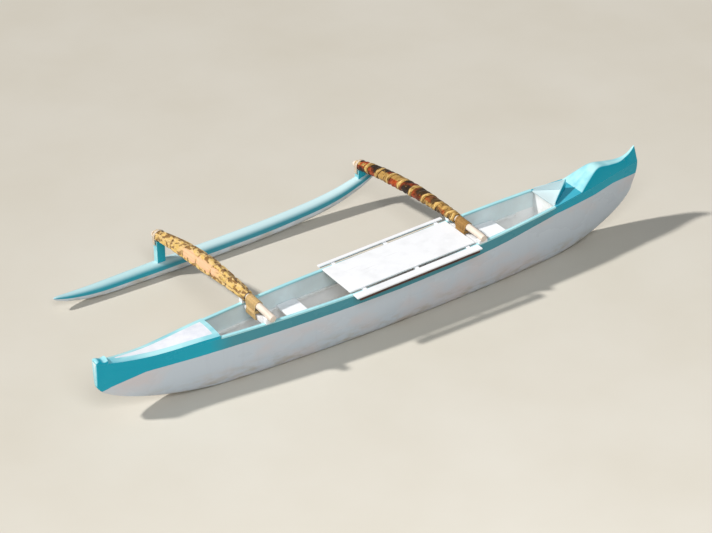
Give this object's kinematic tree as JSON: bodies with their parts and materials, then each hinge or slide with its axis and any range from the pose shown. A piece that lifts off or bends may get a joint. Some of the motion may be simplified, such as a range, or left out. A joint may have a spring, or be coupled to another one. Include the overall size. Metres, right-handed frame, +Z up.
{
  "type": "outrigger canoe",
  "caption": "Beached single-outrigger canoe: decked narrow hull with V breakwater, white platform, float on two arched cloth-wrapped beams.",
  "frame": {"origin": "under the middle of the hull, on the flat bottom that it stands on", "axes": "+X towards the bow, +Y to port where the float is, +Z up"},
  "size_m": [6.3196, 2.3227, 0.9],
  "materials": {
    "hull_white": "glassed hull in white gloss paint, worn satin by sand",
    "turquoise_paint": "turquoise gloss enamel",
    "interior_grey": "pale grey satin paint",
    "board_white": "white painted boards",
    "dark_wood": "dark stained hardwood",
    "bare_wood": "peeled pale pole, oiled",
    "front_cloth": "printed cotton in tan, brown and orange",
    "rear_cloth": "printed cotton in yellow tan and peach",
    "coir_cord": "golden brown coir cord"
  },
  "bodies": {
    "root": {"hull_shell": "hull_white", "riser_port": "hull_white", "riser_starboard": "hull_white", "front_saddle_port": "hull_white", "front_saddle_starboard": "hull_white", "rear_saddle_port": "hull_white", "rear_saddle_starboard": "hull_white", "front_spreader": "hull_white", "rear_spreader": "hull_white", "rail_port": "turquoise_paint", "rail_starboard": "turquoise_paint", "aft_deck": "turquoise_paint", "stern_piece": "turquoise_paint", "foredeck": "turquoise_paint", "bow_piece": "turquoise_paint", "breakwater_port": "turquoise_paint", "breakwater_starboard": "turquoise_paint", "ama": "turquoise_paint", "front_ama_post": "turquoise_paint", "rear_ama_post": "turquoise_paint", "aft_bulkhead": "interior_grey", "fore_bulkhead": "interior_grey", "front_seat": "board_white", "rear_seat": "board_white", "platform_centre_board": "board_white", "platform_side_board_port": "board_white", "platform_side_board_starboard": "board_white", "platform_bearer_aft": "board_white", "platform_bearer_middle": "board_white", "platform_bearer_fore": "board_white", "platform_fascia_port": "dark_wood", "platform_fascia_starboard": "dark_wood", "front_beam": "bare_wood", "rear_beam": "bare_wood", "front_wrap": "front_cloth", "rear_wrap": "rear_cloth", "front_lashing": "coir_cord", "rear_lashing": "coir_cord", "front_ama_lashing": "coir_cord", "rear_ama_lashing": "coir_cord"}
  },
  "joints": []
}
